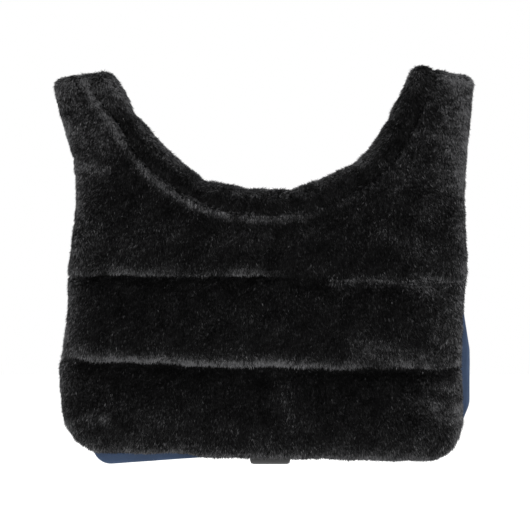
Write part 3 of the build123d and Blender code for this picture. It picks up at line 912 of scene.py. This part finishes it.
def shell_height(x, z, edge):
    """Y of the shell's outer face, in mm, from the place and the distance to its edge."""
    points = np.stack([x, np.zeros_like(x), z], axis=1)
    bare = 1 - hardware_share(x, z)
    level = np.full_like(x, SHELL_BACK_Y - 0.15)
    # the quilt seams draw the cloth in, with small puckers across them
    for seam in (UPPER_SEAM, LOWER_SEAM):
        off = z - seam_z(seam, x)
        pucker = 1 + 0.35 * np.sin(x * 2 * math.pi / 9.0)
        level -= bare * (1.7 * pucker * np.exp(-((off / 5.0) ** 2)) + 1.5 * np.exp(-((off / 22) ** 2)))
        level += bare * 0.7 * waves(points * (3.0, 1, 0.8), 30, 61) * np.exp(-((off / 20) ** 2))
    gap, _ = neck_place(x, z)
    level -= bare * 1.4 * np.exp(-(((gap - 24) / 5) ** 2))
    level += bare * (1.9 + 0.6 * waves(points, 85, 63) + 0.3 * waves(points, 36, 65))
    # the topstitched edge dips and then turns in
    level -= 0.8 * bare * np.exp(-(((edge - 9) / 2.2) ** 2))
    level -= 2.6 * np.exp(-((edge / 4.0) ** 2))
    return level


def make_shell():
    """The shell's outer face, cut fine, quilted and given its cloth's thickness."""
    build = bmesh.new()
    build.from_mesh(frame["nodes"]["outer_shell"].data)
    bmesh.ops.remove_doubles(build, verts=build.verts, dist=1e-6)
    inner = [face for face in build.faces if face.normal.y < 0.9]
    bmesh.ops.delete(build, geom=inner, context="FACES")
    bmesh.ops.dissolve_faces(build, faces=build.faces[:])
    step = 4.0 * MM
    low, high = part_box("outer_shell")
    for axis in (0, 2):
        normal = Vector((1, 0, 0)) if axis == 0 else Vector((0, 0, 1))
        for index in range(1, int((high[axis] - low[axis]) / step)):
            place = normal * (low[axis] + index * step)
            geom = build.verts[:] + build.edges[:] + build.faces[:]
            bmesh.ops.bisect_plane(build, geom=geom, plane_co=place, plane_no=normal)
    tree = boundary_tree(build)
    build.verts.ensure_lookup_table()
    edge = np.array([tree.find((v.co.x, 0, v.co.z))[2] for v in build.verts]) / MM
    co = np.array([v.co for v in build.verts]) / MM
    level = shell_height(co[:, 0], co[:, 2], edge)
    tucked = tuck_to_roll(co.copy(), 32)
    for vertex, place, y in zip(build.verts, tucked, level):
        vertex.co = (place[0] * MM, y * MM, place[2] * MM)
    mesh = bpy.data.meshes.new("outer_shell_cloth")
    build.to_mesh(mesh)
    build.free()
    shell = link(mesh, "outer_shell_cloth")
    solid = shell.modifiers.new("thickness", "SOLIDIFY")
    solid.thickness = 1.0 * MM
    solid.offset = -1
    apply_modifiers(shell)
    smooth_shade(shell.data)
    cover_with(shell.data, SHELL_CLOTH)
    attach(shell, "root")
    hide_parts("outer_shell")
    return shell, tree


# ---- webbing ------------------------------------------------------------------------------

CENTRE_X = 9.0
STRAP_X = 223.0
RING_X = -209.0
RING_BAR_Z = 76.0
STRAP_AXIS_Z = 84.0
EYE_BAR_Z = -188.0
KEEPER_AXIS_Z = {"upper": -64.0, "lower": -167.0}
RIB_PITCH = 1.9
WEB_STEP = 0.48
WEB_COLUMNS = 17


def make_webbing(name, route, radii, x, width, thickness, material, narrow=None):
    """Ribbed flat webbing along a (y, z) route, with rounded edges and closed ends."""
    line, places = rounded_route(route, radii, WEB_STEP)
    tangent = unit(np.gradient(line, axis=0))
    out = np.stack([-tangent[:, 1], tangent[:, 0]], axis=1)
    across = np.linspace(-1, 1, WEB_COLUMNS)
    profile = np.concatenate([across, across[::-1]])
    side = np.concatenate([np.ones(WEB_COLUMNS), -np.ones(WEB_COLUMNS)])
    edge = np.sqrt(np.clip(1 - np.abs(profile) ** 14, 0.02, 1))
    ribs = 1 + 0.14 * np.sin(places * 2 * math.pi / RIB_PITCH)
    breadth = np.full(len(places), width / 2) if narrow is None else width / 2 * narrow(line[:, 1])
    lift = side[None, :] * edge[None, :] * (thickness / 2 * ribs)[:, None]
    verts = np.empty((len(line), len(profile), 3))
    verts[:, :, 0] = x + profile[None, :] * breadth[:, None]
    verts[:, :, 1] = line[:, 0][:, None] + out[:, 0][:, None] * lift
    verts[:, :, 2] = line[:, 1][:, None] + out[:, 1][:, None] * lift
    mesh = bpy.data.meshes.new(name)
    faces = tube_faces(len(line), len(profile))
    mesh.from_pydata((verts.reshape(-1, 3) * MM).tolist(), [], faces)
    mesh.materials.append(material)
    smooth_shade(mesh)
    piece = link(mesh, name)
    return piece


def belly_taper(z):
    """The loop's folded end is drawn in towards its lowest point."""
    return 1 - 0.09 * np.clip((-326 - z) / 10, 0, 1) ** 2


def make_centre_straps():
    """Webbing down the middle of the shell, and the belly loop folded under its end."""
    centre = make_webbing("centre_webbing_ribbed", [(10.5, -44), (10.5, -272)], [],
                          CENTRE_X, 50, 2.0, WEBBING)
    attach(centre, "root")
    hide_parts("centre_webbing")
    route = [(10.5, -275), (10.5, -335), (21.5, -335), (21.5, -296), (12.5, -272), (12.5, -251)]
    loop = make_webbing("belly_loop_folded", route, [5.4, 5.4, 20, 12],
                        CENTRE_X, 50, 2.0, WEBBING, belly_taper)
    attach(loop, "root")
    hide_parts("belly_loop")


def make_keeper(name):
    """One keeper strap, sewn at its top and bending at the hinge line."""
    axis = KEEPER_AXIS_Z[name]
    route = [(12.5, axis + 15), (12.5, axis + 3), (14.8, axis - 3), (19.5, axis - 12),
             (19.5, axis - 44), (15.4, axis - 52), (15.4, axis - 80)]
    strap = make_webbing(f"{name}_keeper_strap", route, [3, 4, 4, 4, 4],
                         CENTRE_X, 40, 2.0, WEBBING)
    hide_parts(f"{name}_keeper_sewn_end", f"{name}_keeper_flap")
    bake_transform(strap)


def make_ring_tab():
    """Tab folded round the D-ring's bar."""
    z = RING_BAR_Z
    route = [(10.3, z - 34), (10.3, z + 3.1), (16.5, z + 3.1), (16.5, z - 1.5), (12.0, z - 9),
             (12.0, z - 34)]
    tab = make_webbing("ring_tab_folded", route, [3.0, 3.0, 3.5, 5.0],
                       RING_X, 25, 1.5, NARROW_WEBBING)
    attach(tab, "root")
    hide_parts("ring_tab")


def make_wither_strap():
    """Folded base sewn to the arm, and the strap that runs down round the snap's eye."""
    axis, eye = STRAP_AXIS_Z, EYE_BAR_Z
    fold = [(11.9, axis + 1), (11.9, axis + 20.5), (10.3, axis + 20.5), (10.3, axis + 1)]
    base = make_webbing("wither_strap_base", fold, [0.75, 0.75],
                        STRAP_X, 25, 1.5, NARROW_WEBBING)
    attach(base, "root")
    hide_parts("wither_strap_sewn_end")
    route = [(13.5, axis + 20.5), (13.5, axis + 4), (15.4, axis - 4), (15.4, eye + 7),
             (13.1, eye + 2.5), (13.1, eye - 3.3), (19.7, eye - 3.3), (19.7, eye + 2.5),
             (17.4, eye + 7), (17.4, 6)]
    strap = make_webbing("wither_strap_doubled", route, [6, 6, 3, 2, 3.2, 3.2, 2, 3],
                         STRAP_X, 25, 1.5, NARROW_WEBBING)
    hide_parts("wither_strap")
    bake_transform(strap)


# ---- stitches and fillings ---------------------------------------------------------------


def lay_stitches(node, tree):
    """The CAD stitches of one seam, settled onto the quilted shell."""
    mesh = frame["nodes"][node].data.copy()
    co = coordinates(mesh) / MM
    edge = np.array([tree.find((x * MM, 0, z * MM))[2] for x, _, z in co]) / MM
    co[:, 1] += shell_height(co[:, 0], co[:, 2], edge) - SHELL_BACK_Y + 0.1
    set_coordinates(mesh, co * MM)
    cover_with(mesh, THREAD)
    piece = link(mesh, f"{node}_laid")
    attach(piece, "root")
    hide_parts(node)


def make_filling(node, name, shrink, material):
    """A soft filling in the shape of its CAD solid, held clear inside its cover."""
    piece = joined_copy(name, [node])
    remesh(piece, 0.005)
    co = coordinates(piece.data)
    lumps = 1 + 0.3 * waves(co / MM, 25, 71)
    co -= vertex_normals(piece.data) * (shrink * lumps * MM)[:, None]
    set_coordinates(piece.data, co)
    smooth_shade(piece.data)
    cover_with(piece.data, material)
    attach(piece, "root")
    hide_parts(node)


def filling_material(name, colour):
    """Fluffy filling of one colour."""
    nodes = Nodes(name)
    fluff = nodes.noise(nodes.position(), 160, 6)
    low = tuple(value * 0.8 for value in colour)
    nodes.wire(nodes.ramp(fluff, [(0.3, low), (0.7, colour)]), nodes.shader.inputs["Base Color"])
    nodes.bump(fluff, 0.6, 0.001)
    return nodes.finish(Roughness=0.95)


def make_spring():
    """The snap's coil, riding with the snap."""
    coil = joined_copy("snap_spring_coil", ["snap_spring"])
    cover_with(coil.data, SPRING_STEEL)
    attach(coil, "snap")
    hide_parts("snap_spring")
    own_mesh(coil)


# ---- everything -------------------------------------------------------------------------

make_camera()
make_studio()
PILE = pile_materials()
FUR_GROUND = fur_ground_material()
SHELL_CLOTH = woven_material("shell_cloth", (0.032, 0.056, 0.110), (0.066, 0.102, 0.182), 0.0011)
WEBBING = woven_material("webbing", (0.030, 0.030, 0.030), (0.075, 0.075, 0.075), 0.0016, 0.84)
NARROW_WEBBING = woven_material("narrow_webbing", (0.010, 0.010, 0.011), (0.032, 0.032, 0.033), 0.0016)
LOOP_TAPE = woven_material("loop_tape", (0.006, 0.006, 0.006), (0.030, 0.030, 0.030), 0.0009)
THREAD = thread_material()
STEEL = steel_material("steel", (0.36, 0.36, 0.37), 0.24)
SPRING_STEEL = steel_material("spring_steel", (0.26, 0.26, 0.27), 0.32)
SLIDER_PLASTIC = plastic_material("slider_plastic", (0.010, 0.010, 0.011), 1500, 0.25)
HOOK_TAPE = hook_material()
FINISHES = {
    "steel": STEEL,
    "spring_steel": SPRING_STEEL,
    "slider_plastic": SLIDER_PLASTIC,
    "hook_tape": HOOK_TAPE,
    "loop_tape": LOOP_TAPE,
    "thread": THREAD,
}
for part in frame["record"]["subparts"]:
    finish = FINISHES.get(part["material_slot"])
    if finish:
        cover_with(frame["nodes"][part["node"]].data, finish)
pad_skin = make_pad_skin()
roll_skin = make_roll_skin()
for skin_piece, node, fill in ((pad_skin, "fur_lining", 0.7), (roll_skin, "neck_roll_cover", 0.9)):
    cover_with(skin_piece.data, FUR_GROUND)
    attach(skin_piece, "root")
    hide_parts(node)
make_fur(pad_skin, roll_skin)
shell_cloth, shell_edge = make_shell()
for seam_node in ("upper_quilt_stitches", "lower_quilt_stitches", "roll_seam_stitches", "edge_stitches"):
    lay_stitches(seam_node, shell_edge)
make_filling("wadding", "wadding_fill", 2.4, filling_material("wadding", (0.85, 0.85, 0.82)))
make_filling("neck_roll_core", "roll_fill", 4.4, filling_material("foam", (0.80, 0.80, 0.74)))
make_centre_straps()
for keeper in KEEPER_AXIS_Z:
    make_keeper(keeper)
make_ring_tab()
make_wither_strap()
make_spring()
